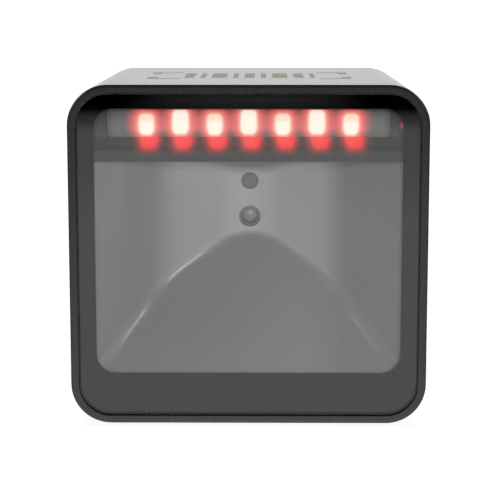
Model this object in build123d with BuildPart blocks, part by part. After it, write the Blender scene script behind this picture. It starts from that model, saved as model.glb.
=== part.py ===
from build123d import *
import os

# A hands-free desktop barcode scanner: a small upright box whose front is one flush glass panel.
# Behind the glass a grey moulded light shroud narrows to the camera, and a row of red lamps
# runs across its top. The frame is X across the front, Y from the front face to the back, +Z up,
# with the origin on the resting plane under the middle of the box. Depths are measured back
# from the front face.

os.makedirs("parts", exist_ok=True)

# ---- driving dimensions, millimetres ----
width = 80.0
depth = 80.0
body_height = 76.3  # the shell alone, without its feet
foot_height = 0.8
corner_r = 9.0
wall = 2.0
cover_t = 2.6  # rear cover plate
ring_w = 1.85  # face of the shell around the glass
gap = 0.15  # shadow line around the glass
glass_t = 1.8
film_t = 0.08  # black print behind the glass
tape_t = 0.4
ledge_t = 1.6
seal_t = 0.6
shroud_t = 1.6
board_t = 1.2
travel = 0.6  # stroke of the mode button
clear_w = 68.4  # clear part of the glass
clear_low = 12.27
clear_high = 71.83
clear_r = 4.3

# ---- sizes and places worked out from them ----
front_y = -depth / 2
mid_z = foot_height + body_height / 2
inner_w = width - 2 * wall
inner_h = body_height - 2 * wall
inner_r = corner_r - wall
recess_w = width - 2 * ring_w
recess_h = body_height - 2 * ring_w
recess_r = corner_r - ring_w
clear_h = clear_high - clear_low
clear_z = (clear_high + clear_low) / 2
glass_front = 0.06
film_front = glass_front + glass_t + 0.02
tape_front = film_front + film_t
ledge_front = tape_front + tape_t
ledge_back = ledge_front + ledge_t
flange_front = ledge_back + seal_t
flange_back = flange_front + shroud_t
cover_in = depth - cover_t  # inside face of the rear cover
FORWARD = -1
BACKWARD = 1
LOW = (Align.CENTER, Align.CENTER, Align.MIN)
HIGH = (Align.CENTER, Align.CENTER, Align.MAX)


def behind(d):
    """The plane d behind the front face; its X runs across, its Y up, and it faces forward."""
    return Plane.XZ.offset(depth / 2 - d)


def facing(way, d, spots):
    """Places at depth d on the (x, z) spots, whose own +Z points forward or backward."""
    return [Plane(origin=(x, front_y + d, z), x_dir=(1, 0, 0), z_dir=(0, way, 0)).location for x, z in spots]


def mirrored(x, zs):
    """The same heights on both sides of the middle."""
    return [(side * x, z) for side in (-1, 1) for z in zs]


def write(piece, name):
    """Labels a finished piece and writes its STEP file."""
    piece.part.label = name
    export_step(piece.part, f"parts/{name}.step")


def screws(name, places, shank_r, length, head_r, head_h):
    """One set of cross-head screws; each place is the seat under a head, +Z out of the head."""
    with BuildPart() as screw:
        Cylinder(head_r, head_h, align=LOW)
        fillet(screw.edges().sort_by(Axis.Z)[-1], head_h * 0.35)
        Cylinder(shank_r, length, align=HIGH)
        chamfer(screw.edges().sort_by(Axis.Z)[0], shank_r * 0.3)
        with Locations((0, 0, head_h)):
            Box(head_r * 1.1, head_r * 0.26, head_h * 1.1, mode=Mode.SUBTRACT)
            Box(head_r * 0.26, head_r * 1.1, head_h * 1.1, mode=Mode.SUBTRACT)
    with BuildPart() as group:
        with Locations(*places):
            add(screw.part)
    write(group, name)


# =====================================================================
# Shell, rear cover and what they carry
# =====================================================================
cover_spots = mirrored(inner_w / 2 - 4.0, (mid_z - inner_h / 2 + 4.0, mid_z + inner_h / 2 - 4.0))
cover_boss_r = 4.3
cover_boss_start = 56.0
cover_boss_end = 75.6
shroud_spots = mirrored(35.0, (30.0, 56.0))
shroud_boss_r = 3.2
shroud_boss_start = 13.0
ear_front = 24.0
foot_r = 4.5
foot_in = 0.6
foot_spots = [(i * 24.0, j * 29.0) for i in (-1, 1) for j in (-1, 1)]
ballast_w = 56.0
ballast_l = 44.0
ballast_t = 4.0
ballast_z = 5.4
ballast_y = 1.0
ballast_spots = [(i * 22.0, ballast_y + j * 16.0) for i in (-1, 1) for j in (-1, 1)]
label_w = 38.0
label_l = 24.0
label_in = 0.3
label_t = 0.2
big_hole_r = 1.3  # pilot holes and the screws that cut into them
big_shank_r = 1.25
small_hole_r = 1.0
small_shank_r = 0.95

with BuildPart() as body_shell:
    with BuildSketch(behind(0)):
        with Locations((0, mid_z)):
            RectangleRounded(width, body_height, corner_r)
    extrude(amount=-cover_in)
    fillet(body_shell.faces().sort_by(Axis.Y)[0].edges(), 0.7)
    chamfer(body_shell.faces().sort_by(Axis.Y)[-1].edges(), 0.25)
    with BuildSketch(behind(ledge_back)):
        with Locations((0, mid_z)):
            RectangleRounded(inner_w, inner_h, inner_r)
    extrude(amount=-depth, mode=Mode.SUBTRACT)
    # the stepped seat that the glass drops into, and the opening behind it
    with BuildSketch(behind(0)):
        with Locations((0, mid_z)):
            RectangleRounded(recess_w, recess_h, recess_r)
    extrude(amount=-ledge_front, mode=Mode.SUBTRACT)
    chamfer(body_shell.faces().sort_by(Axis.Y)[0].inner_wires().edges(), 0.15)
    with BuildSketch(behind(ledge_front)):
        with Locations((0, clear_z)):
            RectangleRounded(clear_w + 2.6, clear_h + 2.4, clear_r + 1.2)
    extrude(amount=-ledge_t, mode=Mode.SUBTRACT)
    # corner bosses for the rear cover
    with BuildSketch(behind(cover_boss_start)):
        with Locations(*cover_spots):
            Circle(cover_boss_r)
        with Locations((0, mid_z)):
            RectangleRounded(inner_w + 1, inner_h + 1, inner_r + 0.5, mode=Mode.INTERSECT)
    extrude(amount=cover_boss_start - cover_boss_end)
    with Locations(*facing(BACKWARD, cover_boss_end, cover_spots)):
        Cylinder(big_hole_r, 12.0, align=HIGH, mode=Mode.SUBTRACT)
    # side bosses for the shroud
    with BuildSketch(behind(shroud_boss_start)):
        with Locations(*shroud_spots):
            Circle(shroud_boss_r)
        with Locations((0, mid_z)):
            Rectangle(inner_w + 1, inner_h, mode=Mode.INTERSECT)
    extrude(amount=shroud_boss_start - ear_front)
    with Locations(*facing(BACKWARD, ear_front, shroud_spots)):
        Cylinder(small_hole_r, 8.0, align=HIGH, mode=Mode.SUBTRACT)
    # standing bosses for the ballast plate
    with BuildSketch(Plane.XY.offset(foot_height + wall - 0.5)):
        with Locations(*ballast_spots):
            Circle(3.4)
    extrude(amount=ballast_z - foot_height - wall + 0.5)
    with Locations(*[(x, y, ballast_z) for x, y in ballast_spots]):
        Cylinder(big_hole_r, 3.6, align=HIGH, mode=Mode.SUBTRACT)
    # seats for the feet and the label
    with Locations(*[(x, y, foot_height) for x, y in foot_spots]):
        Cylinder(foot_r, foot_in, align=LOW, mode=Mode.SUBTRACT)
    with BuildSketch(Plane.XY.offset(foot_height)):
        RectangleRounded(label_w, label_l, 1.5)
    extrude(amount=label_in, mode=Mode.SUBTRACT)
write(body_shell, "body_shell")

socket_z = 17.0
socket_w = 15.2
socket_h = 13.4
socket_back = 79.4
button_x = -20.0
buzzer_x = 20.0
control_z = 50.0
button_r = 4.5
button_hole_r = 4.6
slot_pitch = 2.4
main_front = 64.0
main_back = main_front + 1.6
main_w = 62.0
main_h = 60.0
main_spots = mirrored(26.0, (mid_z - 24.0, mid_z + 24.0))
counterbore_r = 2.7
counterbore = 1.6

with BuildPart() as rear_cover:
    with BuildSketch(behind(cover_in)):
        with Locations((0, mid_z)):
            RectangleRounded(width, body_height, corner_r)
    extrude(amount=-cover_t)
    fillet(rear_cover.faces().sort_by(Axis.Y)[-1].edges(), 1.6)
    chamfer(rear_cover.faces().sort_by(Axis.Y)[0].edges(), 0.25)
    # pads that meet the corner bosses, and posts that carry the main board
    with BuildSketch(behind(cover_in)):
        with Locations(*cover_spots):
            Circle(cover_boss_r - 0.5)
        with Locations((0, mid_z)):
            RectangleRounded(inner_w - 0.4, inner_h - 0.4, inner_r - 0.2, mode=Mode.INTERSECT)
    extrude(amount=cover_in - cover_boss_end)
    with BuildSketch(behind(cover_in)):
        with Locations(*main_spots):
            Circle(2.6)
    extrude(amount=cover_in - main_back)
    with Locations(*facing(FORWARD, main_back, main_spots)):
        Cylinder(small_hole_r, 8.0, align=HIGH, mode=Mode.SUBTRACT)
    # ribs that centre the cover inside the shell
    with BuildSketch(behind(cover_in)):
        with Locations((0, mid_z - inner_h / 2 + 0.8), (0, mid_z + inner_h / 2 - 0.8)):
            Rectangle(40.0, 1.4)
        with Locations((-inner_w / 2 + 0.8, mid_z), (inner_w / 2 - 0.8, mid_z)):
            Rectangle(1.4, 36.0)
    extrude(amount=3.0)
    # sunk holes for the cover screws
    with Locations(*facing(BACKWARD, depth, cover_spots)):
        Cylinder(counterbore_r, counterbore, align=HIGH, mode=Mode.SUBTRACT)
        Cylinder(big_hole_r + 0.15, 6.0, align=HIGH, mode=Mode.SUBTRACT)
    # mouth of the interface socket, hole of the button and slots of the sounder
    with BuildSketch(behind(cover_in)):
        with Locations((0, socket_z)):
            RectangleRounded(socket_w + 0.6, socket_h + 0.6, 0.8)
        with Locations((button_x, control_z)):
            Circle(button_hole_r)
        with Locations(*[(buzzer_x, control_z + k * slot_pitch) for k in (-1, 0, 1)]):
            SlotOverall(8.0, 1.1)
    extrude(amount=-cover_t, mode=Mode.SUBTRACT)
    chamfer(rear_cover.faces().sort_by(Axis.Y)[-1].inner_wires().edges(), 0.25)
write(rear_cover, "rear_cover")

screws("cover_screws", facing(BACKWARD, depth - counterbore, cover_spots), big_shank_r, 11.0, 2.4, 1.4)

with BuildPart() as rubber_feet:
    with Locations(*[(x, y, 0) for x, y in foot_spots]):
        Cylinder(foot_r, foot_height + foot_in, align=LOW)
    fillet(rubber_feet.faces().group_by(Axis.Z)[0].edges(), 0.3)
write(rubber_feet, "rubber_feet")

with BuildPart() as rating_label:
    with BuildSketch(Plane.XY.offset(foot_height + label_in - label_t)):
        RectangleRounded(label_w - 0.6, label_l - 0.6, 1.2)
    extrude(amount=label_t)
write(rating_label, "rating_label")

with BuildPart() as ballast_plate:
    with BuildSketch(Plane.XY.offset(ballast_z)):
        with Locations((0, ballast_y)):
            RectangleRounded(ballast_w, ballast_l, 3.0)
        with Locations(*ballast_spots):
            Circle(big_hole_r + 0.15, mode=Mode.SUBTRACT)
    extrude(amount=ballast_t)
    chamfer(ballast_plate.faces().sort_by(Axis.Z)[-1].outer_wire().edges(), 0.4)
write(ballast_plate, "ballast_plate")

ballast_seats = [Location((x, y, ballast_z + ballast_t)) for x, y in ballast_spots]
screws("ballast_screws", ballast_seats, big_shank_r, 7.2, 2.4, 1.4)

# =====================================================================
# Glass panel stack
# =====================================================================
with BuildPart() as window_glass:
    with BuildSketch(behind(glass_front)):
        with Locations((0, mid_z)):
            RectangleRounded(recess_w - 2 * gap, recess_h - 2 * gap, recess_r - gap)
    extrude(amount=-glass_t)
    chamfer(window_glass.faces().sort_by(Axis.Y)[0].edges(), 0.12)
write(window_glass, "window_glass")

with BuildPart() as window_mask:
    with BuildSketch(behind(film_front)):
        with Locations((0, mid_z)):
            RectangleRounded(recess_w - 2 * gap, recess_h - 2 * gap, recess_r - gap)
        with Locations((0, clear_z)):
            RectangleRounded(clear_w, clear_h, clear_r, mode=Mode.SUBTRACT)
    extrude(amount=-film_t)
write(window_mask, "window_mask")

with BuildPart() as window_tape:
    with BuildSketch(behind(tape_front)):
        with Locations((0, mid_z)):
            RectangleRounded(recess_w - 1.0, recess_h - 1.0, recess_r - 0.5)
        with Locations((0, clear_z)):
            RectangleRounded(clear_w + 2.8, clear_h + 2.6, clear_r + 1.3, mode=Mode.SUBTRACT)
    extrude(amount=-tape_t)
write(window_tape, "window_tape")

with BuildPart() as dust_seal:
    with BuildSketch(behind(ledge_back)):
        with Locations((0, mid_z)):
            RectangleRounded(inner_w - 0.8, inner_h - 0.8, inner_r - 0.4)
        with Locations((0, clear_z)):
            RectangleRounded(clear_w + 2.8, clear_h + 2.6, clear_r + 1.3, mode=Mode.SUBTRACT)
    extrude(amount=-seal_t)
write(dust_seal, "dust_seal")

# =====================================================================
# Light shroud: a wedge-shaped funnel with a sloped floor and ceiling
# =====================================================================
mouth_x = 34.8
bend_x = 20.0
bend_d = 27.3
bend_r = 32.0
tip_d = 43.0
tip_r = 12.0
wall_run = (mouth_x - bend_x) / (bend_d - flange_front)  # how fast the side walls close in
floor_slope = 0.781
floor_front_z = 11.2
ceiling_slope = 0.32
ceiling_back_z = 54.7
wall_d = 39.6  # deepest point of the wall, where the camera looks out
cove_r = 3.2
camera_z = 42.7
camera_hole_r = 2.4
camera_mouth_r = 2.5  # the hole flares out to this at the wall
aimer_z = 51.5
aimer_hole_r = 2.05
pad_back = 41.8
camera_front = 53.0
camera_back = camera_front + board_t
camera_spots = mirrored(18.0, (36.0, 56.0))
lamp_cut_x = 35.2
lamp_cut_z = 59.6
lamp_cut_d = 15.4
stake_spots = mirrored(36.3, (62.0, 66.0))


def funnel(grow):
    """The hollow of the shroud, grown by the given amount on every side but the open front."""
    start = 8.0  # the shape is drawn from this far in front of the frame and cut off level with it
    wide = mouth_x + wall_run * start
    end = tip_d + 6.0
    with BuildPart() as hollow:
        with BuildSketch():
            with BuildLine():
                Polyline(
                    (-wide, front_y + flange_front - start),
                    (-bend_x, front_y + bend_d),
                    (0, front_y + tip_d),
                    (bend_x, front_y + bend_d),
                    (wide, front_y + flange_front - start),
                    close=True,
                )
            make_face()
            fillet(vertices().group_by(Axis.Y)[1], bend_r)
            fillet(vertices().sort_by(Axis.Y)[-1], tip_r)
            if grow:
                offset(amount=grow)
        extrude(amount=body_height)
        with BuildSketch(Plane.YZ):
            with BuildLine():
                Polyline(
                    (front_y + flange_front - start, floor_front_z - floor_slope * start),
                    (front_y + end, floor_front_z + floor_slope * (end - flange_front)),
                    (front_y + end, ceiling_back_z - ceiling_slope * (end - wall_d)),
                    (front_y + flange_front - start, ceiling_back_z + ceiling_slope * (wall_d - flange_front + start)),
                    close=True,
                )
            make_face()
            if grow:
                offset(amount=grow)
        extrude(amount=width, both=True, mode=Mode.INTERSECT)
        # on the inside, the walls meet the sloped floor and ceiling in a soft cove
        if not grow:
            sloped_floor = hollow.faces().sort_by(lambda face: face.normal_at().Z)[0]
            fillet(sloped_floor.edges().sort_by(Axis.Y)[1:], cove_r)
            sloped_ceiling = hollow.faces().sort_by(lambda face: face.normal_at().Z)[-1]
            fillet(sloped_ceiling.edges().sort_by(Axis.Y)[1:], cove_r)
        # only what lies behind the open front is kept
        with Locations((0, front_y + flange_front - (0 if grow else 1), 0)):
            Box(2 * width, depth, 2 * depth, align=(Align.CENTER, Align.MIN, Align.CENTER), mode=Mode.INTERSECT)
    return hollow.part


shroud_outside = funnel(shroud_t)
shroud_inside = funnel(0)

with BuildPart() as camera_shroud:
    add(shroud_outside)
    # flat frame behind the seal
    with BuildSketch(behind(flange_front)):
        with Locations((0, mid_z)):
            RectangleRounded(inner_w - 0.6, inner_h - 0.6, inner_r - 0.3)
    extrude(amount=-shroud_t)
    # ears screwed to the shell, posts for the camera board and a flat pad behind the wall
    with BuildSketch(behind(ear_front)):
        with Locations(*mirrored(28.8, (30.0, 56.0))):
            Rectangle(17.4, 7.0)
    extrude(amount=-shroud_t)
    with BuildSketch(behind(26.0)):
        with Locations(*camera_spots):
            Circle(2.5)
    extrude(amount=26.0 - camera_front)
    with BuildSketch(behind(34.0)):
        with Locations((0, 47.0)):
            Rectangle(11.0, 17.0)
    extrude(amount=34.0 - pad_back)
    add(shroud_inside, mode=Mode.SUBTRACT)
    # notch that takes the lamp housing
    with BuildSketch(behind(flange_front)):
        with Locations((0, lamp_cut_z + 6.65)):
            Rectangle(2 * lamp_cut_x, 13.3)
    extrude(amount=flange_front - lamp_cut_d, mode=Mode.SUBTRACT)
    with BuildSketch(behind(flange_back)):
        with Locations((0, lamp_cut_z + 6.65)):
            Rectangle(inner_w, 13.3)
    extrude(amount=flange_back - lamp_cut_d, mode=Mode.SUBTRACT)
    # holes for the camera, the aimer and the screws
    with Locations(*facing(BACKWARD, pad_back, [(0, camera_z)])):
        Cylinder(camera_hole_r, 6.0, align=HIGH, mode=Mode.SUBTRACT)
    with Locations(*facing(FORWARD, wall_d + 0.8, [(0, camera_z)])):
        Cone(camera_hole_r, camera_mouth_r + 0.3, 1.5, align=LOW, mode=Mode.SUBTRACT)
    with Locations(*facing(BACKWARD, pad_back, [(0, aimer_z)])):
        Cylinder(aimer_hole_r, 6.0, align=HIGH, mode=Mode.SUBTRACT)
    with Locations(*facing(BACKWARD, camera_front, camera_spots)):
        Cylinder(small_hole_r, 8.0, align=HIGH, mode=Mode.SUBTRACT)
    with Locations(*facing(BACKWARD, ear_front + shroud_t, shroud_spots)):
        Cylinder(small_hole_r + 0.15, shroud_t, align=HIGH, mode=Mode.SUBTRACT)
    # heat-staked pins that hold the ends of the lamp housing
    with Locations(*facing(BACKWARD, flange_back, stake_spots)):
        Cylinder(0.7, 1.6, align=LOW)
    with Locations(*facing(BACKWARD, flange_back + 1.6, stake_spots)):
        Cylinder(1.1, 0.6, align=LOW)
write(camera_shroud, "camera_shroud")

screws("shroud_screws", facing(BACKWARD, ear_front + shroud_t, shroud_spots), small_shank_r, 8.0, 2.0, 1.2)

# =====================================================================
# Lamp bar across the top of the window
# =====================================================================
lamp_z = 67.8
lamp_pitch = 7.65
lamp_count = 7
lip_front = 3.6
lip_low = 59.9
lip_high = 62.3
ledge_in = 8.0
trough_z = 65.0
trough_top = 71.5
housing_top = 72.6
lamp_board_front = 12.0
lamp_board_back = lamp_board_front + board_t
housing_back = lamp_board_back + 1.6
housing_x = 35.0
trough_x = 31.9
lamp_screw_spots = [(-26.8, lamp_z), (26.8, lamp_z)]
ribbon_x = 10.0

with BuildPart() as led_housing:
    with BuildSketch(Plane.YZ):
        with BuildLine():
            Polyline(
                (front_y + lip_front, lip_low),
                (front_y + lip_front, housing_top),
                (front_y + housing_back, housing_top),
                (front_y + housing_back, trough_z - 1.6),
                (front_y + ledge_in + 1.0, trough_z - 1.6),
                (front_y + lip_front + 1.6, lip_low + 1.4),
                (front_y + lip_front + 1.6, lip_low),
                close=True,
            )
        make_face()
    extrude(amount=housing_x, both=True)
    fillet(led_housing.edges().filter_by(Axis.Y).group_by(Axis.Z)[-1], 4.5)
    # the sloped shelf in front of the lens bar runs the whole width
    with BuildSketch(Plane.YZ):
        with BuildLine():
            Polyline(
                (front_y + lip_front, lip_high),
                (front_y + ledge_in, trough_z),
                (front_y + ledge_in, trough_top),
                (front_y + lip_front, trough_top),
                close=True,
            )
        make_face()
    extrude(amount=housing_x, both=True, mode=Mode.SUBTRACT)
    # the trough behind it holds the bar and the board
    with BuildSketch(behind(ledge_in)):
        with Locations((0, (trough_z + trough_top) / 2)):
            Rectangle(2 * trough_x, trough_top - trough_z)
    extrude(amount=ledge_in - lamp_board_back, mode=Mode.SUBTRACT)
    # tabs staked to the shroud
    with BuildSketch(behind(flange_back)):
        with Locations(*mirrored(36.2, (64.0,))):
            Rectangle(2.6, 7.0)
    extrude(amount=-1.6)
    with Locations(*facing(BACKWARD, flange_back + 1.6, stake_spots)):
        Cylinder(0.8, 1.6, align=HIGH, mode=Mode.SUBTRACT)
    # blind bosses for the board screws and a slot for the ribbon
    with Locations(*facing(BACKWARD, housing_back, lamp_screw_spots)):
        Cylinder(2.2, 3.0, align=LOW)
    with Locations(*facing(FORWARD, lamp_board_back, lamp_screw_spots)):
        Cylinder(small_hole_r, 4.0, align=HIGH, mode=Mode.SUBTRACT)
    with Locations(*facing(BACKWARD, housing_back, [(ribbon_x, lamp_z)])):
        Box(11.4, 4.4, 4.0, mode=Mode.SUBTRACT)
write(led_housing, "led_housing")

with BuildPart() as led_board:
    with BuildSketch(behind(lamp_board_front)):
        with Locations((0, lamp_z)):
            Rectangle(2 * trough_x - 0.2, 5.6)
        with Locations(*lamp_screw_spots):
            Circle(small_hole_r + 0.1, mode=Mode.SUBTRACT)
    extrude(amount=-board_t)
write(led_board, "led_board")

screws("led_board_screws", facing(FORWARD, lamp_board_front, lamp_screw_spots), small_shank_r, 4.6, 1.7, 1.0)

# each lamp is a small moulded package with a square well and a glowing die in it
with BuildPart() as led_packages:
    with BuildSketch(behind(lamp_board_front)):
        with Locations((0, lamp_z)):
            with GridLocations(lamp_pitch, 1, lamp_count, 1):
                RectangleRounded(3.6, 5.0, 0.4)
    extrude(amount=1.4)
    with BuildSketch(behind(lamp_board_front - 1.4)):
        with Locations((0, lamp_z)):
            with GridLocations(lamp_pitch, 1, lamp_count, 1):
                RectangleRounded(2.8, 4.0, 0.8)
    extrude(amount=-0.8, mode=Mode.SUBTRACT)
write(led_packages, "led_packages")

with BuildPart() as led_emitters:
    with BuildSketch(behind(lamp_board_front - 0.6)):
        with Locations((0, lamp_z)):
            with GridLocations(lamp_pitch, 1, lamp_count, 1):
                RectangleRounded(2.6, 3.8, 0.7)
    extrude(amount=0.6)
write(led_emitters, "led_emitters")

sensor_x = 30.6
with BuildPart() as proximity_sensors:
    with BuildSketch(behind(lamp_board_front)):
        with Locations((-sensor_x, lamp_z), (sensor_x, lamp_z)):
            RectangleRounded(2.6, 4.4, 0.3)
    extrude(amount=1.1)
    with Locations(*facing(FORWARD, lamp_board_front - 1.1, [(-sensor_x, lamp_z), (sensor_x, lamp_z)])):
        Cylinder(0.9, 0.5, align=LOW)
write(proximity_sensors, "proximity_sensors")

bar_x = 31.84
bar_front = 8.2
bar_back = 10.0
with BuildPart() as led_lens_bar:
    with BuildSketch(behind(bar_front)):
        with Locations((0, (trough_z + trough_top) / 2)):
            RectangleRounded(2 * bar_x, trough_top - trough_z, 0.8)
    extrude(amount=bar_front - bar_back)
    # shallow round dimple in front of each lamp
    with Locations(*facing(FORWARD, bar_front, [((i - 3) * lamp_pitch, lamp_z) for i in range(lamp_count)])):
        Cylinder(2.3, 0.3, align=HIGH, mode=Mode.SUBTRACT)
write(led_lens_bar, "led_lens_bar")

# =====================================================================
# Camera and aimer behind the two holes of the shroud
# =====================================================================
neck_front = 44.0
nose_front = 40.7
nose_r = 2.3
front_lens_r = 2.05
front_lens_l = 2.3
dome_r = 1.6
holder_front = 49.4
holder_back = camera_front

with BuildPart() as camera_board:
    with BuildSketch(behind(camera_front)):
        with Locations((0, 46.0)):
            RectangleRounded(44.0, 30.0, 1.0)
        with Locations(*camera_spots):
            Circle(small_hole_r + 0.15, mode=Mode.SUBTRACT)
    extrude(amount=-board_t)
write(camera_board, "camera_board")

screws("camera_board_screws", facing(BACKWARD, camera_back, camera_spots), small_shank_r, 7.0, 1.9, 1.1)

with BuildPart() as lens_holder:
    with BuildSketch(behind(holder_front)):
        with Locations((0, camera_z)):
            RectangleRounded(11.0, 11.0, 0.8)
    extrude(amount=holder_front - holder_back)
    with Locations(*facing(FORWARD, holder_front, [(0, camera_z)])):
        Cylinder(4.4, holder_front - neck_front, align=LOW)
    with BuildSketch(behind(holder_front + 1.4)):
        with Locations((0, camera_z)):
            Rectangle(8.8, 8.8)
    extrude(amount=holder_front + 1.4 - holder_back, mode=Mode.SUBTRACT)
    with Locations(*facing(FORWARD, holder_front + 1.4, [(0, camera_z)])):
        Cylinder(3.4, 10.0, align=LOW, mode=Mode.SUBTRACT)
write(lens_holder, "lens_holder")

with BuildPart() as lens_barrel:
    with Locations(*facing(FORWARD, neck_front, [(0, camera_z)])):
        Cylinder(4.2, 0.9, align=LOW)
        Cylinder(nose_r, neck_front - nose_front, align=LOW)
        Cylinder(3.35, 5.6, align=HIGH)
        Cylinder(1.3, 20.0, mode=Mode.SUBTRACT)
    with Locations(*facing(FORWARD, nose_front, [(0, camera_z)])):
        Cylinder(front_lens_r, 1.6, align=HIGH, mode=Mode.SUBTRACT)
    with Locations(*facing(BACKWARD, neck_front + 5.6, [(0, camera_z)])):
        Cylinder(2.5, 1.8, align=HIGH, mode=Mode.SUBTRACT)
write(lens_barrel, "lens_barrel")

with BuildPart() as lens_front_element:
    with Locations(*facing(BACKWARD, nose_front + 1.6, [(0, camera_z)])):
        Cylinder(front_lens_r, front_lens_l, align=HIGH)
    fillet(lens_front_element.edges().group_by(Axis.Y)[0], dome_r)
write(lens_front_element, "lens_front_element")

with BuildPart() as lens_rear_element:
    with Locations(*facing(BACKWARD, neck_front + 5.6, [(0, camera_z)])):
        Cylinder(2.5, 1.5, align=HIGH)
    fillet(lens_rear_element.edges().group_by(Axis.Y)[-1], 0.5)
write(lens_rear_element, "lens_rear_element")

with BuildPart() as ir_cut_filter:
    with Locations(*facing(FORWARD, holder_front + 1.8, [(0, camera_z)])):
        Box(8.8, 8.8, 0.4, align=LOW)
write(ir_cut_filter, "ir_cut_filter")

with BuildPart() as image_sensor:
    with Locations(*facing(FORWARD, camera_front, [(0, camera_z)])):
        Box(7.4, 6.4, 1.0, align=LOW)
        with Locations((0, 0, 1.0)):
            Box(5.2, 4.0, 0.15, align=LOW)
write(image_sensor, "image_sensor")

aimer_pipe_back = 51.2
with BuildPart() as aimer_lens:
    with Locations(*facing(FORWARD, aimer_pipe_back, [(0, aimer_z)])):
        Cylinder(aimer_hole_r - 0.05, aimer_pipe_back - 40.2, align=LOW)
    with Locations(*facing(BACKWARD, pad_back, [(0, aimer_z)])):
        Cylinder(2.9, 1.0, align=LOW)
    fillet(aimer_lens.edges().sort_by(Axis.Y)[0], 0.35)
write(aimer_lens, "aimer_lens")

with BuildPart() as aimer_led:
    with Locations(*facing(FORWARD, camera_front, [(0, aimer_z)])):
        Box(3.4, 3.0, 1.2, align=LOW)
        with Locations((0, 0, 1.2)):
            Cylinder(1.1, 0.5, align=LOW)
write(aimer_led, "aimer_led")

with BuildPart() as image_chip:
    with Locations(*facing(BACKWARD, camera_back, [(-11.0, 46.0)])):
        Box(10.0, 10.0, 1.0, align=LOW)
    chamfer(image_chip.faces().sort_by(Axis.Y)[-1].edges(), 0.15)
write(image_chip, "image_chip")

# board-to-board connector between the camera board and the main board
stack_x = 10.0
stack_z = 40.0
stack_mid = 59.6
with BuildPart() as mezzanine_plug:
    with Locations(*facing(BACKWARD, camera_back, [(stack_x, stack_z)])):
        Box(14.0, 4.0, stack_mid - camera_back, align=LOW)
write(mezzanine_plug, "mezzanine_plug")

with BuildPart() as mezzanine_socket:
    with Locations(*facing(FORWARD, main_front, [(stack_x, stack_z)])):
        Box(16.0, 5.6, main_front - stack_mid, align=LOW)
        with Locations((0, 0, 1.2)):
            Box(14.4, 0.5, main_front - stack_mid, align=LOW, mode=Mode.SUBTRACT)
write(mezzanine_socket, "mezzanine_socket")

# =====================================================================
# Main board, its parts, the interface socket, sounder and switch
# =====================================================================
with BuildPart() as main_board:
    with BuildSketch(behind(main_front)):
        with Locations((0, mid_z)):
            RectangleRounded(main_w, main_h, 1.5)
        with Locations(*main_spots):
            Circle(small_hole_r + 0.15, mode=Mode.SUBTRACT)
    extrude(amount=main_front - main_back)
write(main_board, "main_board")

screws("main_board_screws", facing(FORWARD, main_front, main_spots), small_shank_r, 8.0, 1.9, 1.1)

with BuildPart() as processor_chip:
    with Locations(*facing(FORWARD, main_front, [(-14.0, 46.0)])):
        Box(14.0, 14.0, 1.4, align=LOW)
    chamfer(processor_chip.faces().sort_by(Axis.Y)[0].edges(), 0.2)
write(processor_chip, "processor_chip")

with BuildPart() as memory_chip:
    with Locations(*facing(FORWARD, main_front, [(-14.0, 31.0)])):
        Box(11.0, 8.0, 1.0, align=LOW)
    chamfer(memory_chip.faces().sort_by(Axis.Y)[0].edges(), 0.15)
write(memory_chip, "memory_chip")

with BuildPart() as shield_can:
    with Locations(*facing(FORWARD, main_front, [(9.0, 22.0)])):
        Box(20.0, 16.0, 2.6, align=LOW)
    fillet(shield_can.faces().sort_by(Axis.Y)[0].edges(), 0.4)
    with Locations(*facing(FORWARD, main_front, [(9.0, 22.0)])):
        Box(19.5, 15.5, 2.35, align=LOW, mode=Mode.SUBTRACT)
    with Locations(*facing(FORWARD, main_front - 2.6, [(9.0, 22.0)])):
        with GridLocations(4.0, 4.0, 4, 3):
            Cylinder(0.6, 0.3, align=HIGH, mode=Mode.SUBTRACT)
write(shield_can, "shield_can")

with BuildPart() as chip_capacitors:
    with Locations(*facing(FORWARD, main_front, [(-15.0, 20.5)])):
        with GridLocations(4.0, 3.6, 4, 3):
            Box(2.0, 1.25, 1.0, align=LOW)
write(chip_capacitors, "chip_capacitors")

# flat ribbon from the lamps, over the shroud, to the main board
ribbon_t = 0.3
ribbon_w = 8.0
bend_r = 3.0
ribbon_start = front_y + lamp_board_back + 2.6
ribbon_drop = front_y + main_front - 1.1
ribbon_end_z = 61.0
with BuildPart() as ribbon_connector_front:
    with Locations(*facing(BACKWARD, lamp_board_back, [(ribbon_x, lamp_z)])):
        Box(10.4, 3.4, 2.6, align=LOW)
write(ribbon_connector_front, "ribbon_connector_front")

with BuildPart() as ribbon_connector_rear:
    with Locations(*facing(FORWARD, main_front, [(ribbon_x, 59.0)])):
        Box(10.4, 4.0, 2.2, align=LOW)
write(ribbon_connector_rear, "ribbon_connector_rear")

with BuildPart() as led_ribbon:
    with BuildSketch(Plane.YZ.offset(ribbon_x)):
        with BuildLine():
            Polyline(
                (ribbon_start, lamp_z - ribbon_t / 2),
                (ribbon_drop - ribbon_t / 2, lamp_z - ribbon_t / 2),
                (ribbon_drop - ribbon_t / 2, ribbon_end_z),
                (ribbon_drop + ribbon_t / 2, ribbon_end_z),
                (ribbon_drop + ribbon_t / 2, lamp_z + ribbon_t / 2),
                (ribbon_start, lamp_z + ribbon_t / 2),
                close=True,
            )
        make_face()
        bends = vertices().group_by(Axis.X)
        fillet(bends[1].sort_by(Axis.Y)[-1], bend_r)
        fillet(vertices().group_by(Axis.X)[-1].sort_by(Axis.Y)[-1], bend_r + ribbon_t)
    extrude(amount=ribbon_w / 2, both=True)
write(led_ribbon, "led_ribbon")

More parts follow.
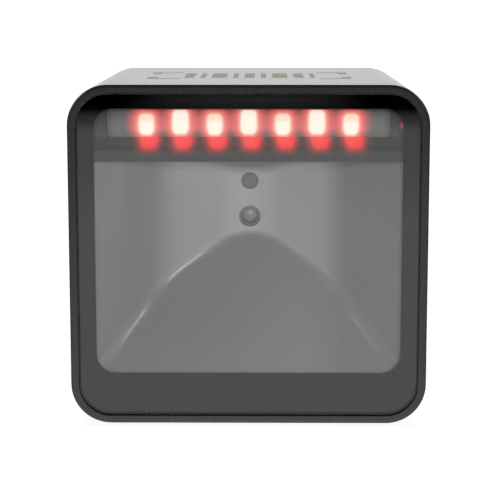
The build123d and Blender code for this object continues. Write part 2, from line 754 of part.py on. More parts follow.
plug_w = 11.8
plug_h = 6.8
plug_in = 12.2
plug_z = socket_z - 0.6
with BuildPart() as interface_socket:
    with BuildSketch(behind(main_back)):
        with Locations((0, socket_z)):
            RectangleRounded(socket_w, socket_h, 0.6)
    extrude(amount=main_back - socket_back)
    with BuildSketch(behind(socket_back)):
        with Locations((0, plug_z)):
            Rectangle(plug_w, plug_h)
        with Locations((0, plug_z + plug_h / 2 + 0.7)):
            Rectangle(6.0, 1.4)
        with Locations((0, plug_z + plug_h / 2 + 1.9)):
            Rectangle(3.4, 1.2)
    extrude(amount=plug_in, mode=Mode.SUBTRACT)
write(interface_socket, "interface_socket")

contact_count = 10
contact_pitch = 1.02
with BuildPart() as one_contact:
    with BuildSketch(Plane.YZ):
        with BuildLine():
            Polyline(
                (front_y + socket_back - plug_in, plug_z - plug_h / 2),
                (front_y + socket_back - plug_in, plug_z - plug_h / 2 + 2.2),
                (front_y + socket_back - 4.4, plug_z - plug_h / 2 + 0.6),
                (front_y + socket_back - 3.4, plug_z - plug_h / 2),
                close=True,
            )
        make_face()
    extrude(amount=0.25, both=True)

with BuildPart() as socket_contacts:
    with GridLocations(contact_pitch, 1, contact_count, 1):
        add(one_contact.part)
write(socket_contacts, "socket_contacts")

with BuildPart() as buzzer:
    with Locations(*facing(BACKWARD, main_back, [(buzzer_x, control_z)])):
        Cylinder(6.0, 8.0, align=LOW)
        fillet(buzzer.edges().group_by(Axis.Y)[-1], 0.4)
    with Locations(*facing(BACKWARD, main_back + 8.0, [(buzzer_x, control_z)])):
        Cylinder(1.2, 2.0, align=HIGH, mode=Mode.SUBTRACT)
write(buzzer, "buzzer")

with BuildPart() as buzzer_gasket:
    with Locations(*facing(BACKWARD, main_back + 8.0, [(buzzer_x, control_z)])):
        Cylinder(5.8, cover_in - main_back - 8.0, align=LOW)
        Cylinder(4.4, cover_in - main_back - 8.0, align=LOW, mode=Mode.SUBTRACT)
write(buzzer_gasket, "buzzer_gasket")

# ---- mode button: the cap pushes the plunger of the switch behind it ----
switch_back = main_back + 3.6
plunger_end = 70.6
plunger_r = 1.7
flange_of_cap = 77.3
with BuildPart() as tact_switch:
    with Locations(*facing(BACKWARD, main_back, [(button_x, control_z)])):
        Box(6.2, 6.2, switch_back - main_back, align=LOW)
    chamfer(tact_switch.faces().sort_by(Axis.Y)[-1].edges(), 0.25)
    with Locations(*facing(BACKWARD, switch_back, [(button_x, control_z)])):
        Cylinder(plunger_r + 0.08, 2.2, align=HIGH, mode=Mode.SUBTRACT)
write(tact_switch, "tact_switch")

with BuildPart() as switch_plunger:
    with Locations(*facing(BACKWARD, plunger_end, [(button_x, control_z)])):
        Cylinder(plunger_r, plunger_end - switch_back + 1.4, align=HIGH)
write(switch_plunger, "switch_plunger")

with BuildPart() as mode_button:
    with Locations(*facing(BACKWARD, plunger_end, [(button_x, control_z)])):
        Cylinder(2.2, flange_of_cap - plunger_end, align=LOW)
    with Locations(*facing(BACKWARD, flange_of_cap, [(button_x, control_z)])):
        Cylinder(5.6, 1.2, align=HIGH)
        Cylinder(button_r, 2.5, align=LOW)
    fillet(mode_button.edges().sort_by(Axis.Y)[-1], 0.5)
write(mode_button, "mode_button")
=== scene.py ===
"""Looks of a compact presentation scanner: its materials, the print on its top and a pale studio.

The front faces -Y and Z is up. Patterns lie in object space, in metres unless a comment says otherwise.
"""
import math

import bmesh
import bpy
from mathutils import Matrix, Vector


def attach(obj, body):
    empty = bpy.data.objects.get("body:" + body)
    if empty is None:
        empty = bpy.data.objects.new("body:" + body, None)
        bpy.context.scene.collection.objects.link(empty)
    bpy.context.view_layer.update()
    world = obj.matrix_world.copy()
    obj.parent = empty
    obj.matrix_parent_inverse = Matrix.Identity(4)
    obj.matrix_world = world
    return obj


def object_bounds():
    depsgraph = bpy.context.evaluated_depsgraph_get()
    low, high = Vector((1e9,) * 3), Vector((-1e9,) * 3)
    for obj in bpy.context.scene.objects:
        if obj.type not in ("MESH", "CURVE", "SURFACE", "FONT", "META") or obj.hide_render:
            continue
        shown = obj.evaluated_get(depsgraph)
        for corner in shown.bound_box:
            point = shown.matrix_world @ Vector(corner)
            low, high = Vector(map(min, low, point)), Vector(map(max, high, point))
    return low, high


MM = 0.001

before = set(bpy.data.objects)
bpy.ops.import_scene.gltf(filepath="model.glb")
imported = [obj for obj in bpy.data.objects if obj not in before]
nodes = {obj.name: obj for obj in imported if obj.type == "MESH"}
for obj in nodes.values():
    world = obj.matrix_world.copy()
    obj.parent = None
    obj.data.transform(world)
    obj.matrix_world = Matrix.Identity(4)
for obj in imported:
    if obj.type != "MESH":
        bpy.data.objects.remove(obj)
cad_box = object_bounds()
scene = bpy.context.scene


# ---------------------------------------------------------------- materials
def colour(r, g, b):
    return (r, g, b, 1.0)


def grey(level):
    return colour(level, level, level)


class Tree:
    """A material's node tree with short ways to add nodes to it."""

    def __init__(self, name):
        self.material = bpy.data.materials.new(name)
        self.material.use_nodes = True
        self.tree = self.material.node_tree
        self.bsdf = self.tree.nodes["Principled BSDF"]
        self.place = self.add("ShaderNodeTexCoord").outputs["Object"]

    def add(self, kind, **settings):
        node = self.tree.nodes.new(kind)
        for key, value in settings.items():
            setattr(node, key, value)
        return node

    def put(self, value, socket):
        """A number, colour or another node's output into a socket."""
        if isinstance(value, bpy.types.NodeSocket):
            self.tree.links.new(value, socket)
        else:
            socket.default_value = value

    def shader(self, name, value):
        """The same, into the shader's socket of this name."""
        self.put(value, self.bsdf.inputs[name])

    def glow(self, shade, strength=1.0):
        self.shader("Emission Color", shade)
        self.shader("Emission Strength", strength)

    # numbers
    def math(self, operation, a, b=0.0, clamp=False):
        node = self.add("ShaderNodeMath", operation=operation, use_clamp=clamp)
        self.put(a, node.inputs[0])
        self.put(b, node.inputs[1])
        return node.outputs[0]

    def times(self, a, b):
        return self.math("MULTIPLY", a, b)

    def minus(self, a, b):
        return self.math("SUBTRACT", a, b)

    def size_of(self, value):
        return self.math("ABSOLUTE", value)

    def largest(self, first, *others):
        for other in others:
            first = self.math("MAXIMUM", first, other)
        return first

    def length(self, a, b):
        return self.math("SQRT", self.math("ADD", self.times(a, a), self.times(b, b)))

    def beyond(self, value, half):
        """How far value lies outside -half..half."""
        return self.largest(self.minus(self.size_of(value), half), 0.0)

    def spread(self, value, low, high, start=0.0, end=1.0):
        """Value remapped from start..end to low..high, and held at low or high outside."""
        node = self.add("ShaderNodeMapRange")
        self.put(value, node.inputs["Value"])
        node.inputs["From Min"].default_value = start
        node.inputs["From Max"].default_value = end
        node.inputs["To Min"].default_value = low
        node.inputs["To Max"].default_value = high
        return node.outputs[0]

    # where on the surface
    def axes(self):
        """The place's X, Y and Z in metres."""
        node = self.add("ShaderNodeSeparateXYZ")
        self.put(self.place, node.inputs[0])
        return node.outputs[0], node.outputs[1], node.outputs[2]

    def upward(self):
        """How much the surface faces up, from -1 to 1."""
        node = self.add("ShaderNodeSeparateXYZ")
        self.put(self.add("ShaderNodeNewGeometry").outputs["Normal"], node.inputs[0])
        return node.outputs[2]

    def noise(self, scale, detail=2.0, rough=0.5, stretch=(1, 1, 1)):
        """Noise with features about 1/scale metres across."""
        mapping = self.add("ShaderNodeMapping")
        self.put(self.place, mapping.inputs["Vector"])
        mapping.inputs["Scale"].default_value = stretch
        node = self.add("ShaderNodeTexNoise")
        self.put(mapping.outputs[0], node.inputs["Vector"])
        node.inputs["Scale"].default_value = scale
        node.inputs["Detail"].default_value = detail
        node.inputs["Roughness"].default_value = rough
        return node.outputs["Fac"]

    # colours and relief
    def blend(self, how, factor, a, b):
        node = self.add("ShaderNodeMix", data_type="RGBA", blend_type=how)
        self.put(factor, node.inputs["Factor"])
        self.put(a, node.inputs["A"])
        self.put(b, node.inputs["B"])
        return node.outputs["Result"]

    def mix(self, factor, a, b):
        return self.blend("MIX", factor, a, b)

    def ramp(self, value, stops, reach):
        """A colour that changes along value, from 0 to reach; stops are (value, (r, g, b)) pairs."""
        node = self.add("ShaderNodeValToRGB")
        self.put(self.math("DIVIDE", value, reach), node.inputs["Fac"])
        points = node.color_ramp.elements
        points.remove(points[1])
        points[0].position = stops[0][0] / reach
        points[0].color = colour(*stops[0][1])
        for at, shade in stops[1:]:
            points.new(at / reach).color = colour(*shade)
        return node.outputs["Color"]

    def relief(self, scale, depth, stretch=(1, 1, 1)):
        """Fine grain, depth in millimetres."""
        node = self.add("ShaderNodeBump")
        node.inputs["Distance"].default_value = depth * MM
        self.put(self.noise(scale, stretch=stretch), node.inputs["Height"])
        self.shader("Normal", node.outputs[0])


def moulded(name, base, rough, grain=2500, depth=0.006, vary=0.12, gloss=0.05, patch=260, specular=0.5):
    """Moulded plastic: fine grain, slight mottling of colour and gloss."""
    t = Tree(name)
    low = colour(*[part * (1 - vary) for part in base])
    high = colour(*[part * (1 + vary) for part in base])
    t.shader("Base Color", t.mix(t.noise(90, 3), low, high))
    t.shader("Roughness", t.spread(t.noise(patch, 4, 0.6), rough - gloss, rough + gloss, 0.3, 0.7))
    t.relief(grain, depth)
    t.shader("Specular IOR Level", specular)
    return t.material


def metal(name, base, rough, stretch=(1, 1, 1)):
    """Bare metal: fine grain and uneven gloss; stretch packs the pattern closer along an axis."""
    t = Tree(name)
    t.shader("Metallic", 1.0)
    low = colour(*[part * 0.82 for part in base])
    t.shader("Base Color", t.mix(t.noise(400, 4, 0.6, stretch), low, colour(*base)))
    t.shader("Roughness", t.spread(t.noise(900, 3, 0.5, stretch), rough - 0.08, rough + 0.08, 0.3, 0.7))
    t.relief(1800, 0.004, stretch)
    return t.material


def clear(name, base, ior=1.49):
    """Clear glass or plastic with faint clouds in its colour."""
    t = Tree(name)
    low = colour(*[part * 0.985 for part in base])
    t.shader("Base Color", t.mix(t.noise(60), low, colour(*base)))
    t.shader("Transmission Weight", 1.0)
    t.shader("IOR", ior)
    t.shader("Roughness", 0.0)
    return t.material


def dress(material, *names):
    """Gives the CAD nodes this material."""
    for name in names:
        for slot in nodes[name].material_slots:
            slot.material = material


# casing
dress(moulded("case_black", (0.020, 0.020, 0.021), 0.27, grain=3200, depth=0.0002, gloss=0.006, patch=1500),
      "body_shell")
dress(moulded("cover_black", (0.022, 0.022, 0.023), 0.46, grain=2400, depth=0.016), "rear_cover")
dress(moulded("button_grey", (0.045, 0.045, 0.047), 0.38), "mode_button")
dress(metal("screw_black", (0.07, 0.07, 0.075), 0.35), "cover_screws")
dress(metal("screw_zinc", (0.7, 0.7, 0.68), 0.25),
      "shroud_screws", "led_board_screws", "camera_board_screws", "main_board_screws", "ballast_screws")
dress(metal("ballast_steel", (0.5, 0.5, 0.5), 0.4, stretch=(1, 12, 1)), "ballast_plate")
dress(moulded("foot_rubber", (0.016, 0.016, 0.016), 0.75, grain=1800, depth=0.03), "rubber_feet")
dress(moulded("label_silver", (0.55, 0.55, 0.55), 0.35), "rating_label")

# window
dress(clear("window_clear", (0.97, 0.985, 0.975), ior=1.7), "window_glass")
dress(moulded("window_black", (0.003, 0.003, 0.0033), 0.9, depth=0.0001, specular=0.0), "window_mask")
dress(moulded("tape_black", (0.015, 0.015, 0.015), 0.6), "window_tape")
dress(moulded("seal_foam", (0.02, 0.02, 0.02), 0.9, grain=1500, depth=0.05), "dust_seal", "buzzer_gasket")
# the pane casts no shadow, so the lights reach what lies behind it
nodes["window_glass"].visible_shadow = False

# lamps and camera, without the shroud, the lens and the lit pieces, which follow below
dress(moulded("lamp_body", (0.75, 0.74, 0.70), 0.3), "led_packages")
dress(moulded("sensor_dark", (0.02, 0.012, 0.02), 0.15), "proximity_sensors")
dress(moulded("lens_black", (0.05, 0.05, 0.052), 0.35), "lens_holder")
dress(moulded("barrel_grey", (0.2, 0.2, 0.2), 0.4, depth=0.002), "lens_barrel")
dress(clear("filter_glass", (0.6, 0.8, 0.85)), "ir_cut_filter")
dress(moulded("aimer_clear", (0.135, 0.135, 0.135), 0.25, depth=0.001), "aimer_lens")
dress(moulded("sensor_chip", (0.03, 0.03, 0.05), 0.12), "image_sensor")
dress(moulded("lamp_small", (0.8, 0.78, 0.6), 0.3), "aimer_led")

# electronics
dress(moulded("board_green", (0.008, 0.09, 0.035), 0.3, grain=1400, depth=0.01, vary=0.3),
      "led_board", "camera_board", "main_board")
dress(moulded("chip_black", (0.018, 0.018, 0.02), 0.5), "image_chip", "processor_chip", "memory_chip")
dress(moulded("capacitor_tan", (0.32, 0.2, 0.11), 0.3, vary=0.3), "chip_capacitors")
dress(moulded("connector_ivory", (0.62, 0.58, 0.46), 0.35),
      "mezzanine_plug", "mezzanine_socket", "ribbon_connector_front", "ribbon_connector_rear")
dress(moulded("ribbon_white", (0.7, 0.72, 0.72), 0.3), "led_ribbon")
dress(moulded("socket_black", (0.018, 0.018, 0.019), 0.3), "interface_socket")
dress(metal("contact_gold", (0.86, 0.62, 0.22), 0.2), "socket_contacts")
dress(moulded("sounder_black", (0.02, 0.02, 0.02), 0.3), "buzzer")
dress(moulded("switch_black", (0.03, 0.03, 0.03), 0.4), "tact_switch", "switch_plunger")
dress(metal("can_tin", (0.72, 0.71, 0.68), 0.28), "shield_can")


# ---------------------------------------------------------------- shroud and camera lens
FLANK_START = 17.5 * MM  # half widths between which the back wall's painted light turns into the flanks' painted shade
FLANK_END = 22.5 * MM
STREAK_GAP = 21.8 * MM  # half width at which the bright streaks along the floor's edge break off
LENS_PAINTED_GLINT = (0.05 * MM, 43.6 * MM)  # across and up, of the painted glint on the lens

# the shroud: satin grey, with painted shade: the flanks and the sloped floor are painted darker than the back
# wall, where less light falls on them
t = Tree("shroud_grey")
x, _, _ = t.axes()
across = t.size_of(x)
upward = t.upward()
speckle = t.noise(120, 3)
painted_shades = []
for low, high in ((0.325, 0.345), (0.225, 0.242), (0.172, 0.186)):
    painted_shades.append(t.mix(speckle, colour(low, low * 1.01, low), colour(high, high * 1.01, high)))
wall_painted_light, flank_painted_shade, floor_painted_shade = painted_shades
upright_painted_shade = t.mix(t.spread(across, 0.0, 1.0, FLANK_START, FLANK_END), wall_painted_light, flank_painted_shade)
# painted light: the cove under the ceiling is painted paler to both sides of the middle
hanging = t.spread(upward, 1.0, 0.0, -0.45, -0.02)
off_middle = t.spread(across, 0.2, 1.0, 4 * MM, 12 * MM)
upright_painted_shade = t.blend("MULTIPLY", t.times(hanging, off_middle), upright_painted_shade, grey(1.4))
sloped = t.spread(upward, 0.0, 1.0, 0.2, 0.6)
t.shader("Base Color", t.mix(sloped, upright_painted_shade, floor_painted_shade))
# satin with duller stretches, so that the cove along the floor's edge shines in separate streaks
satin = t.spread(t.noise(260, 4, 0.6), 0.29, 0.35, 0.3, 0.7)
dull_middle = t.spread(across, 0.3, 0.0, 9.5 * MM, 13.0 * MM)
dull_front = t.spread(across, 0.0, 0.35, 28.0 * MM, 31.5 * MM)
dull_gap = t.spread(t.size_of(t.minus(across, STREAK_GAP)), 0.42, 0.0, 1.0 * MM, 3.0 * MM)
dull_right = t.spread(x, 0.0, 0.13, 6.0 * MM, 16.0 * MM)
dull_floor = t.spread(upward, 0.0, 0.28, 0.68, 0.77)
dull = t.largest(dull_middle, dull_front, dull_gap, dull_right, dull_floor)
t.shader("Roughness", t.math("ADD", satin, dull))
t.relief(2200, 0.004)
dress(t.material, "camera_shroud")

# the camera's lens: a satin dome with painted light, paler where it faces up, and a painted glint that stands
# for a reflection of the lamps above
t = Tree("lens_glass")
x, _, z = t.axes()
painted_light_up = t.spread(t.upward(), 0.0, 1.0, -0.55, 0.5)
t.shader("Base Color", t.mix(painted_light_up, grey(0.13), colour(0.235, 0.237, 0.237)))
t.shader("Roughness", t.spread(t.noise(400), 0.16, 0.22))
from_painted_glint = t.length(t.minus(x, LENS_PAINTED_GLINT[0]), t.minus(z, LENS_PAINTED_GLINT[1]))
t.glow(t.mix(t.spread(from_painted_glint, 1.0, 0.0, 0.1 * MM, 0.5 * MM), grey(0), grey(0.2)))
dress(t.material, "lens_front_element", "lens_rear_element")


# ---------------------------------------------------------------- lamps
LAMP_PITCH = 7.65 * MM
LAST_LAMP = 3.0  # the lamps are numbered from -3 on the left to 3 on the right; the odd ones are short
LAMP_Z = 67.8 * MM
BAR_END = 31.9 * MM  # half length of the lens bar
SHELF_TOP = 65.0 * MM  # the housing's sloped shelf, at the lens bar's lower edge
SHELF_BACK = -31.8 * MM
LIP_DROP = 1.55 * MM  # from the shelf's top down to its lip
PAINTED_POOL_SHIFT = 0.68  # millimetres by which the painted red pools of lamp light lie to the right of their lamps
HOUSING_PAINTED_GLINT = (34.3 * MM, 67.6 * MM)  # across and up, of the painted red glint on the housing
PEACH = colour(1.0, 0.8, 0.72)
CORE_REACH = 5.0  # millimetres covered by the stops below
PAINTED_POOL_REACH = 4.0
# millimetres from a lamp's core, and the glow there
CORE_STOPS = [(0.0, (1.0, 0.9, 0.76)), (0.85, (1.0, 0.87, 0.73)), (1.15, (0.94, 0.5, 0.38)),
              (1.55, (0.86, 0.16, 0.12)), (2.2, (0.68, 0.04, 0.035)), (3.0, (0.34, 0.008, 0.008)),
              (3.7, (0.11, 0.002, 0.002)), (4.5, (0, 0, 0))]
# millimetres from a painted pool's middle, and the painted glow there, which is pure red
PAINTED_POOL_STOPS = [(0.0, (1.0, 0, 0)), (1.0, (0.94, 0, 0)), (1.3, (0.76, 0, 0)), (1.6, (0.5, 0, 0)),
              (2.1, (0.2, 0, 0)), (2.6, (0.09, 0, 0)), (3.3, (0.025, 0, 0)), (3.9, (0, 0, 0))]


def lamp_cells(t, x):
    """Millimetres sideways from the nearest lamp and from the next one, and 1 at the short lamps."""
    which = t.math("ROUND", t.math("DIVIDE", x, LAMP_PITCH))
    short = t.math("PINGPONG", which, 1.0)
    clamped = t.math("MINIMUM", t.math("MAXIMUM", which, -LAST_LAMP), LAST_LAMP)
    sideways = t.times(t.minus(x, t.times(clamped, LAMP_PITCH)), 1 / MM)
    # beyond the last lamp the next one lies inward, so it is further away than the pitch
    inward = t.math("LESS_THAN", t.size_of(x), LAST_LAMP * LAMP_PITCH)
    side = t.minus(t.times(inward, 2.0), 1.0)
    next_lamp = t.minus(LAMP_PITCH / MM, t.times(t.size_of(sideways), side))
    return sideways, next_lamp, short


# the bar in front of the lamps: a frosted strip that shows each lamp's bright core and red halo
t = Tree("lamp_lens")
x, _, z = t.axes()
sideways, next_lamp, short = lamp_cells(t, x)
up = t.times(t.minus(z, LAMP_Z), 1 / MM)
# the cores of the tall lamps reach the bar's top, the short ones end lower, in a dimmer peach block
middle = t.minus(0.55, t.times(short, 0.5))
half_height = t.minus(1.6, t.times(short, 0.35))
half_width = t.minus(0.7, t.times(short, 0.1))
upright = t.beyond(t.minus(up, middle), half_height)
# the halos are narrower at the bar's top and bottom
pinch = t.largest(t.spread(up, 1.0, 1.12, 1.2, 3.4), t.spread(up, 1.35, 1.0, -2.7, -0.8))
near = t.length(t.times(t.beyond(sideways, half_width), pinch), upright)
far = t.length(t.times(t.beyond(next_lamp, 0.5), pinch), upright)
block = t.times(t.times(short, t.spread(up, 0.0, 1.0, 0.3, 1.1)), t.math("LESS_THAN", near, 2.0))
near_halo = t.blend("MULTIPLY", block, t.ramp(near, CORE_STOPS, CORE_REACH), PEACH)
far_halo = t.blend("MULTIPLY", 1.0, t.ramp(far, CORE_STOPS, CORE_REACH), grey(1.5))
# between two lamps the light of both adds up, a little less at the bar's top and bottom
both = t.times(t.spread(up, 1.6, 0.9, 1.0, 3.4), t.spread(up, 0.5, 1.0, -2.6, -0.8))
t.glow(t.blend("ADD", both, near_halo, far_halo))
# painted shade: the strip's colour darkens towards its ends, its top and its bottom, where it fades into the
# housing
end_painted_shade = t.spread(t.size_of(x), 1.0, 0.48, 30.2 * MM, BAR_END)
top_painted_shade = t.spread(up, 1.0, 0.55, 0.8, 3.4)
bottom_painted_shade = t.spread(up, 0.7, 1.0, -2.7, -0.9)
t.shader("Base Color", t.mix(t.times(end_painted_shade, t.times(top_painted_shade, bottom_painted_shade)), grey(0.01), grey(0.172)))
t.shader("Roughness", t.spread(t.noise(700), 0.3, 0.36))
t.relief(1600, 0.002)
dress(t.material, "led_lens_bar")

# the housing: dark plastic whose sloped shelf has a painted red pool of lamp light under each lamp, as a glow
t = Tree("lamp_housing_grey")
x, y, z = t.axes()
sideways, next_lamp, _ = lamp_cells(t, x)
down = t.times(t.minus(SHELF_TOP, z), 1 / MM)
below = t.times(t.largest(t.minus(down, 1.0), 0.0), 1.15)
# each painted pool narrows downwards
painted_pool_half = t.spread(down, 0.72, 0.42, 0.3, 1.1)
from_near = t.length(t.beyond(t.minus(sideways, PAINTED_POOL_SHIFT), painted_pool_half), below)
from_far = t.length(t.beyond(next_lamp, 0.5), below)
near_painted_pool = t.ramp(from_near, PAINTED_POOL_STOPS, PAINTED_POOL_REACH)
far_painted_pool = t.ramp(from_far, PAINTED_POOL_STOPS, PAINTED_POOL_REACH)
painted_pool = t.blend("ADD", 1.0, near_painted_pool, far_painted_pool)
under_bar = t.math("LESS_THAN", z, SHELF_TOP + 0.02 * MM)
on_shelf = t.times(under_bar, t.math("LESS_THAN", y, SHELF_BACK))
# a painted red glint on the housing's right end, standing for a lamp's reflection
painted_glint_x = t.math("DIVIDE", t.minus(x, HOUSING_PAINTED_GLINT[0]), 0.7 * MM)
painted_glint_z = t.math("DIVIDE", t.minus(z, HOUSING_PAINTED_GLINT[1]), 1.2 * MM)
painted_glint = t.largest(t.minus(1.0, t.length(painted_glint_x, painted_glint_z)), 0.0)
t.glow(t.mix(painted_glint, t.mix(on_shelf, grey(0), painted_pool), colour(0.35, 0.02, 0.03)))
housing_shade = t.mix(t.noise(120, 3), grey(0.044), grey(0.049))
# painted light: the slope above the lip is painted 1.22 times paler, making up for the light it misses
above_lip_painted_light = t.math("GREATER_THAN", z, SHELF_TOP - LIP_DROP)
t.shader("Base Color", t.blend("MULTIPLY", above_lip_painted_light, housing_shade, grey(1.22)))
t.shader("Roughness", t.spread(t.noise(500), 0.36, 0.46))
t.relief(2200, 0.006)
dress(t.material, "led_housing")

# the glowing dies behind the bar
t = Tree("lamp_die")
t.glow(t.mix(t.noise(900), colour(1.0, 0.25, 0.2), colour(1.0, 0.4, 0.3)), 1.5)
t.shader("Base Color", colour(1.0, 0.3, 0.25))
dress(t.material, "led_emitters")


# ---------------------------------------------------------------- print on the top face
def prism(mesh, outline, low, high):
    """A closed flat solid over an outline of (x, y) points, given anticlockwise."""
    bottom = [mesh.verts.new((px, py, low)) for px, py in outline]
    top = [mesh.verts.new((px, py, high)) for px, py in outline]
    mesh.faces.new(list(reversed(bottom)))
    mesh.faces.new(top)
    for i in range(len(outline)):
        j = (i + 1) % len(outline)
        mesh.faces.new((bottom[i], bottom[j], top[j], top[i]))


def top_print():
    """A plain mark: bars of different widths between four corner brackets."""
    half_w, back, front = 24.0 * MM, 13.2 * MM, -15.4 * MM
    stroke, leg_x, leg_y = 2.2 * MM, 7.5 * MM, 8.0 * MM
    low = cad_box[1][2] - 0.01 * MM
    high = cad_box[1][2] + 0.015 * MM
    mesh = bmesh.new()
    corner = [(0, 0), (leg_x, 0), (leg_x, stroke), (stroke, stroke), (stroke, leg_y), (0, leg_y)]
    for side in (-1, 1):
        for edge, inward in ((back, -1), (front, 1)):
            outline = [(side * (half_w - across), edge + inward * along) for across, along in corner]
            if side * inward > 0:
                outline.reverse()
            prism(mesh, outline, low, high)
    bars = [2.4, 1.2, 3.6, 1.2, 2.4, 1.2, 3.6, 2.4, 1.2]  # widths, millimetres
    space = 1.5
    bar_front, bar_back = front + 4.4 * MM, back - 4.4 * MM
    at = -(sum(bars) + space * (len(bars) - 1)) / 2
    for width in bars:
        left, right = at * MM, (at + width) * MM
        outline = [(left, bar_front), (right, bar_front), (right, bar_back), (left, bar_back)]
        prism(mesh, outline, low, high)
        at += width + space
    data = bpy.data.meshes.new("top_print")
    mesh.to_mesh(data)
    mesh.free()
    data.materials.append(moulded("print_ink", (0.42, 0.40, 0.285), 0.55, grain=5000, depth=0.002, vary=0.08))
    made = bpy.data.objects.new("top_print", data)
    scene.collection.objects.link(made)
    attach(made, "root")


top_print()


# ---------------------------------------------------------------- stage
FAR = 4.0  # from the middle to the pale walls, near enough to show in a view from any side
SHEET_HALF = 1.5  # the brighter sheet behind the object
SHEET_Y = 1.6
SHEET_TOP = 0.9
CARD_START = -0.04  # the reflection card's near edge, at the object's front
CARD_END = -1.3
CARD_HALF = 0.6
CARD_Z = 0.2 * MM
CARD_MIDDLE = -0.012  # the camera looks slightly from the right, so its reflection is centred to the left
CARD_FAR_HALF = 0.105
# metres in front of the object, and the card's glow there
NEAR_GLOW = [(0.0, 0.95), (0.30, 0.95), (0.40, 0.87), (0.50, 0.79), (0.60, 0.74), (0.76, 0.76), (0.80, 0.60),
             (0.85, 0.38), (0.90, 0.28), (0.94, 0.13), (0.98, 0.01), (1.0, 0.0)]
# the same, added around CARD_MIDDLE only
FAR_GLOW = [(0.0, 0.0), (0.93, 0.0), (0.97, 0.08), (1.02, 0.14), (1.08, 0.2), (1.13, 0.2), (1.2, 0.0)]


def plane(name, corners, material):
    mesh = bpy.data.meshes.new(name)
    mesh.from_pydata(corners, [], [(0, 1, 2, 3)])
    mesh.materials.append(material)
    made = bpy.data.objects.new(name, mesh)
    scene.collection.objects.link(made)
    return made


def paper(name, glow, base):
    t = Tree(name)
    t.shader("Base Color", grey(base))
    t.shader("Roughness", 1.0)
    t.glow(grey(1), glow)
    return t.material


def glowing_card(name, strength):
    """Pure glow that fades with the distance in front of the object."""
    t = Tree(name)
    t.shader("Base Color", grey(0))
    t.shader("Roughness", 1.0)
    t.shader("Specular IOR Level", 0.0)
    x, y, _ = t.axes()
    distance = t.minus(CARD_START, y)
    near, far = [t.ramp(distance, [(at, (glow, glow, glow)) for at, glow in steps], CARD_START - CARD_END)
                 for steps in (NEAR_GLOW, FAR_GLOW)]
    across = t.math("DIVIDE", t.minus(x, CARD_MIDDLE), CARD_FAR_HALF)
    middle = t.math("SUBTRACT", 1.0, t.times(across, across), clamp=True)
    t.glow(t.blend("ADD", middle, near, far), strength)
    return t.material


def hide_from(thing, *rays):
    for ray in rays:
        setattr(thing, "visible_" + ray, False)


# what the camera sees: pale paper all round, which lights nothing, and a brighter sheet, which does
floor_paper = paper("floor_paper", 0.93, 0.35)
floor_paper.cycles.emission_sampling = "NONE"
far_corners = [(-FAR, -FAR), (FAR, -FAR), (FAR, FAR), (-FAR, FAR)]
seen_only = [plane("floor", [(x, y, 0) for x, y in far_corners], floor_paper)]
for (x0, y0), (x1, y1) in zip(far_corners, far_corners[1:] + far_corners[:1]):
    wall = [(x0, y0, 0), (x1, y1, 0), (x1, y1, FAR), (x0, y0, FAR)]
    seen_only.append(plane("far_wall", wall, floor_paper))
for surface in seen_only:
    hide_from(surface, "glossy", "diffuse", "transmission", "shadow")
sheet = [(-SHEET_HALF, SHEET_Y, 0), (SHEET_HALF, SHEET_Y, 0), (SHEET_HALF, SHEET_Y, SHEET_TOP),
         (-SHEET_HALF, SHEET_Y, SHEET_TOP)]
plane("backdrop", sheet, paper("backdrop_paper", 1.3, 0.5))

# what the glossy surfaces see: a glowing card on the floor in front of the object
card_corners = [(-CARD_HALF, CARD_END, CARD_Z), (CARD_HALF, CARD_END, CARD_Z),
                (CARD_HALF, CARD_START, CARD_Z), (-CARD_HALF, CARD_START, CARD_Z)]
card = plane("reflection_card", card_corners, glowing_card("card_glow", 0.61))
hide_from(card, "camera", "diffuse", "shadow")


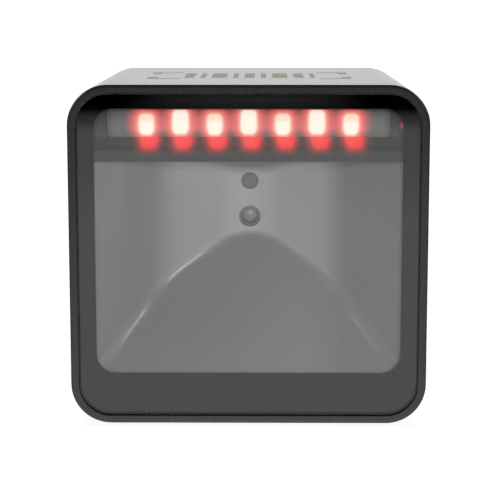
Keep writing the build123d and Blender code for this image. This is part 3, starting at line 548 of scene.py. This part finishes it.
# ---------------------------------------------------------------- lights
def softbox(name, at, towards, size, power, only=(), glossy=False, diffuse=True, through_stage=False):
    """An area light; only names the nodes it lights, all of them where it names none."""
    light = bpy.data.lights.new(name, "AREA")
    light.shape = "RECTANGLE"
    light.size, light.size_y = size
    light.energy = power
    # reflected rays stop at the stage, so a light that shines through it is sampled on its own
    light.cycles.use_multiple_importance_sampling = not through_stage
    made = bpy.data.objects.new(name, light)
    made.location = at
    made.rotation_euler = (Vector(towards) - Vector(at)).to_track_quat("-Z", "Y").to_euler()
    hide_from(made, "camera", "transmission")
    made.visible_glossy = glossy
    made.visible_diffuse = diffuse
    scene.collection.objects.link(made)
    if only:
        lit = bpy.data.collections.new(name + "_lit")
        for node in only:
            lit.objects.link(nodes[node])
        made.light_linking.receiver_collection = lit


behind_window = ["camera_shroud", "led_housing", "led_lens_bar", "aimer_lens", "lens_barrel",
                 "lens_front_element"]
around_cover = ["rear_cover", "cover_screws", "mode_button", "interface_socket", "socket_contacts",
                "rubber_feet", "rating_label"]
softbox("top_light", (0.0, 0.15, 1.3), (0, 0.1, 0), (1.4, 1.0), 10)
softbox("cavity_light", (0.03, -0.75, 0.15), (0, 0, 0.045), (0.16, 0.10), 4.0, only=behind_window)
# low in front and no wider than the case, so that it lights the rim and leaves the sides alone
softbox("rim_light", (0, -0.2, -0.12), (0, -0.04, 0.03), (0.07, 0.07), 1.12, only=["body_shell"])
for side in (-1, 1):
    softbox("side_light", (side * 1.1, 0.35, 0.75), (0, 0.02, 0.04), (1.2, 0.8), 12,
            only=["body_shell"] + around_cover, glossy=True)
softbox("back_light", (0.15, 1.2, 0.8), (0, 0, 0.04), (0.9, 0.4), 10, only=around_cover, glossy=True)
# a narrow strip below the lamps, whose reflection runs along the edge of the shroud's floor
softbox("cove_streak", (0.012, -0.0355, 0.0585), (-0.027, -0.024, 0.02), (0.03, 0.004), 0.012,
        only=["camera_shroud", "lens_front_element"], glossy=True, diffuse=False, through_stage=True)

world = bpy.data.worlds.new("studio")
world.use_nodes = True
world.node_tree.nodes["Background"].inputs["Color"].default_value = grey(1)
world.node_tree.nodes["Background"].inputs["Strength"].default_value = 0.01
scene.world = world
scene.view_settings.view_transform = "Standard"


# ---------------------------------------------------------------- camera
CAMERA_AT = (3.378 * MM, -396.03 * MM, 97.79 * MM)
PITCH = 0.159443  # downwards, radians
TURN = 0.008476  # to the left, radians

camera_data = bpy.data.cameras.new("camera")
camera_data.sensor_width = 36.0
camera_data.lens = 116.85
camera_data.clip_start = 0.01
camera = bpy.data.objects.new("camera", camera_data)
camera.location = CAMERA_AT
camera.rotation_euler = (math.pi / 2 - PITCH, 0, TURN)
scene.collection.objects.link(camera)
scene.camera = camera
